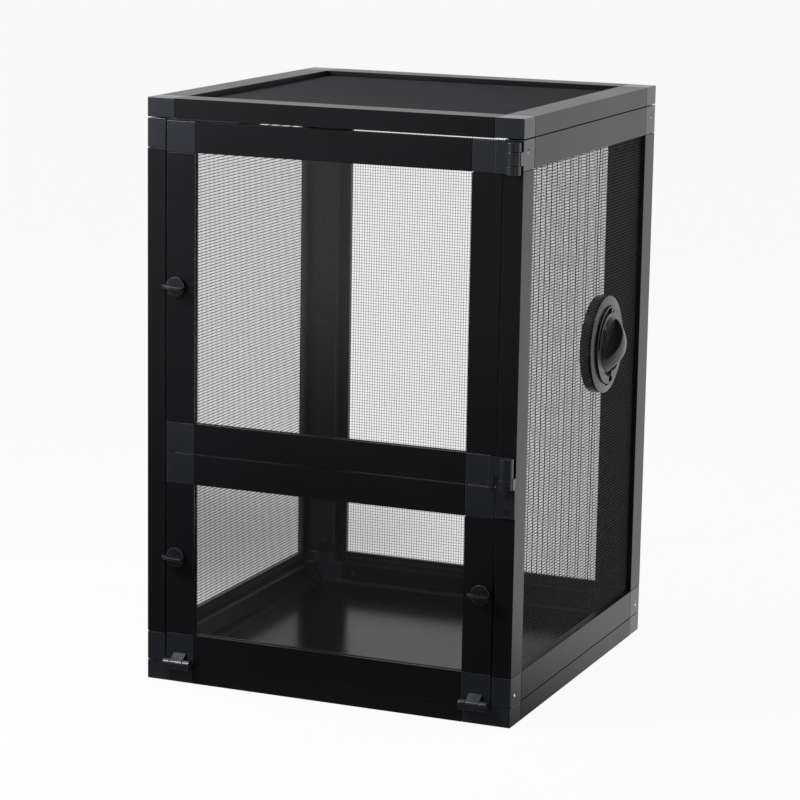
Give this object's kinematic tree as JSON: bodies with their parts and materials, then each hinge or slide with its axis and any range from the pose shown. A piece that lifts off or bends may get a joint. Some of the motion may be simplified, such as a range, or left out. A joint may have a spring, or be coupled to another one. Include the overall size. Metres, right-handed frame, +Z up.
{
  "type": "mesh reptile cage",
  "caption": "Upright black cage with mesh sides, back and top, a clear swing door over a clear drop flap, turn-knob latches and a round feeding port in one side.",
  "frame": {"origin": "middle of the cage's underside, in the plane that it stands on", "axes": "+Z up, doors face -Y, the feeding port is on the +X side"},
  "size_m": [0.4165, 0.4143, 0.6],
  "materials": {
    "frame_metal": "satin black powder coat",
    "corner_plastic": "satin moulded black plastic",
    "mesh": "black coated woven mesh",
    "cord_rubber": "matte black",
    "seal_rubber": "matte black",
    "floor": "glossy black sheet",
    "pane": "clear sheet",
    "knob_plastic": "satin moulded black plastic",
    "steel": "zinc plated"
  },
  "bodies": {
    "frame": {"top_rail_front": "frame_metal", "top_rail_rear": "frame_metal", "top_rail_left": "frame_metal", "top_rail_right": "frame_metal", "top_corners": "corner_plastic", "top_mesh": "mesh", "base_rail_front": "frame_metal", "base_rail_rear": "frame_metal", "base_rail_left": "frame_metal", "base_rail_right": "frame_metal", "base_corners": "corner_plastic", "left_post_front": "frame_metal", "left_post_rear": "frame_metal", "left_rail_top": "frame_metal", "left_rail_bottom": "frame_metal", "left_corners": "corner_plastic", "left_mesh": "mesh", "right_post_front": "frame_metal", "right_post_rear": "frame_metal", "right_rail_top": "frame_metal", "right_rail_bottom": "frame_metal", "right_corners": "corner_plastic", "right_mesh": "mesh", "back_stile_left": "frame_metal", "back_stile_right": "frame_metal", "back_rail_top": "frame_metal", "back_rail_bottom": "frame_metal", "back_corners": "corner_plastic", "back_mesh": "mesh", "floor_sheet": "floor", "mesh_cord": "cord_rubber", "frame_screws": "steel", "hinge_bracket": "corner_plastic", "upper_hinge_pins": "steel", "lower_hinge_pins": "steel", "door_catches": "knob_plastic", "port_bezel": "knob_plastic", "port_back_ring": "knob_plastic"},
    "upper_door": {"upper_stile_left": "frame_metal", "upper_stile_right": "frame_metal", "upper_rail_top": "frame_metal", "upper_rail_bottom": "frame_metal", "upper_corners": "corner_plastic", "upper_pane": "pane"},
    "lower_door": {"lower_stile_left": "frame_metal", "lower_stile_right": "frame_metal", "lower_rail_top": "frame_metal", "lower_rail_bottom": "frame_metal", "lower_corners": "corner_plastic", "lower_pane": "pane"},
    "upper_latch": {"upper_knob": "knob_plastic", "upper_tongue": "knob_plastic"},
    "lower_left_latch": {"lower_left_knob": "knob_plastic", "lower_left_tongue": "knob_plastic"},
    "lower_right_latch": {"lower_right_knob": "knob_plastic", "lower_right_tongue": "knob_plastic"},
    "port_seal_ring": {"port_seal": "seal_rubber"},
    "port_lid_unit": {"port_lid": "knob_plastic", "port_grip": "knob_plastic"}
  },
  "joints": [
    {"name": "upper_door_swing", "type": "hinge", "parent": "frame", "child": "upper_door", "pos_m": [0.1925, -0.2073, 0.4097], "axis": [0, 0, 1], "range_deg": [0, 180]},
    {"name": "lower_door_drop", "type": "hinge", "parent": "frame", "child": "lower_door", "pos_m": [0, -0.2058, 0.02025], "axis": [1, 0, 0], "range_deg": [0, 90]},
    {"name": "upper_latch_turn", "type": "hinge", "parent": "upper_door", "child": "upper_latch", "pos_m": [-0.167, -0.2, 0.4117], "axis": [0, 1, 0], "range_deg": [0, 90]},
    {"name": "lower_left_latch_turn", "type": "hinge", "parent": "lower_door", "child": "lower_left_latch", "pos_m": [-0.167, -0.2, 0.1325], "axis": [0, 1, 0], "range_deg": [0, 90]},
    {"name": "lower_right_latch_turn", "type": "hinge", "parent": "lower_door", "child": "lower_right_latch", "pos_m": [0.167, -0.2, 0.1325], "axis": [0, 1, 0], "range_deg": [-90, 0]},
    {"name": "port_lid_pull", "type": "slide", "parent": "frame", "child": "port_seal_ring", "axis": [1, 0, 0], "range_m": [0, 0.06]},
    {"name": "port_lid_twist", "type": "hinge", "parent": "port_seal_ring", "child": "port_lid_unit", "pos_m": [0.2, 0.072, 0.34], "axis": [1, 0, 0], "range_deg": [-40, 0]}
  ]
}
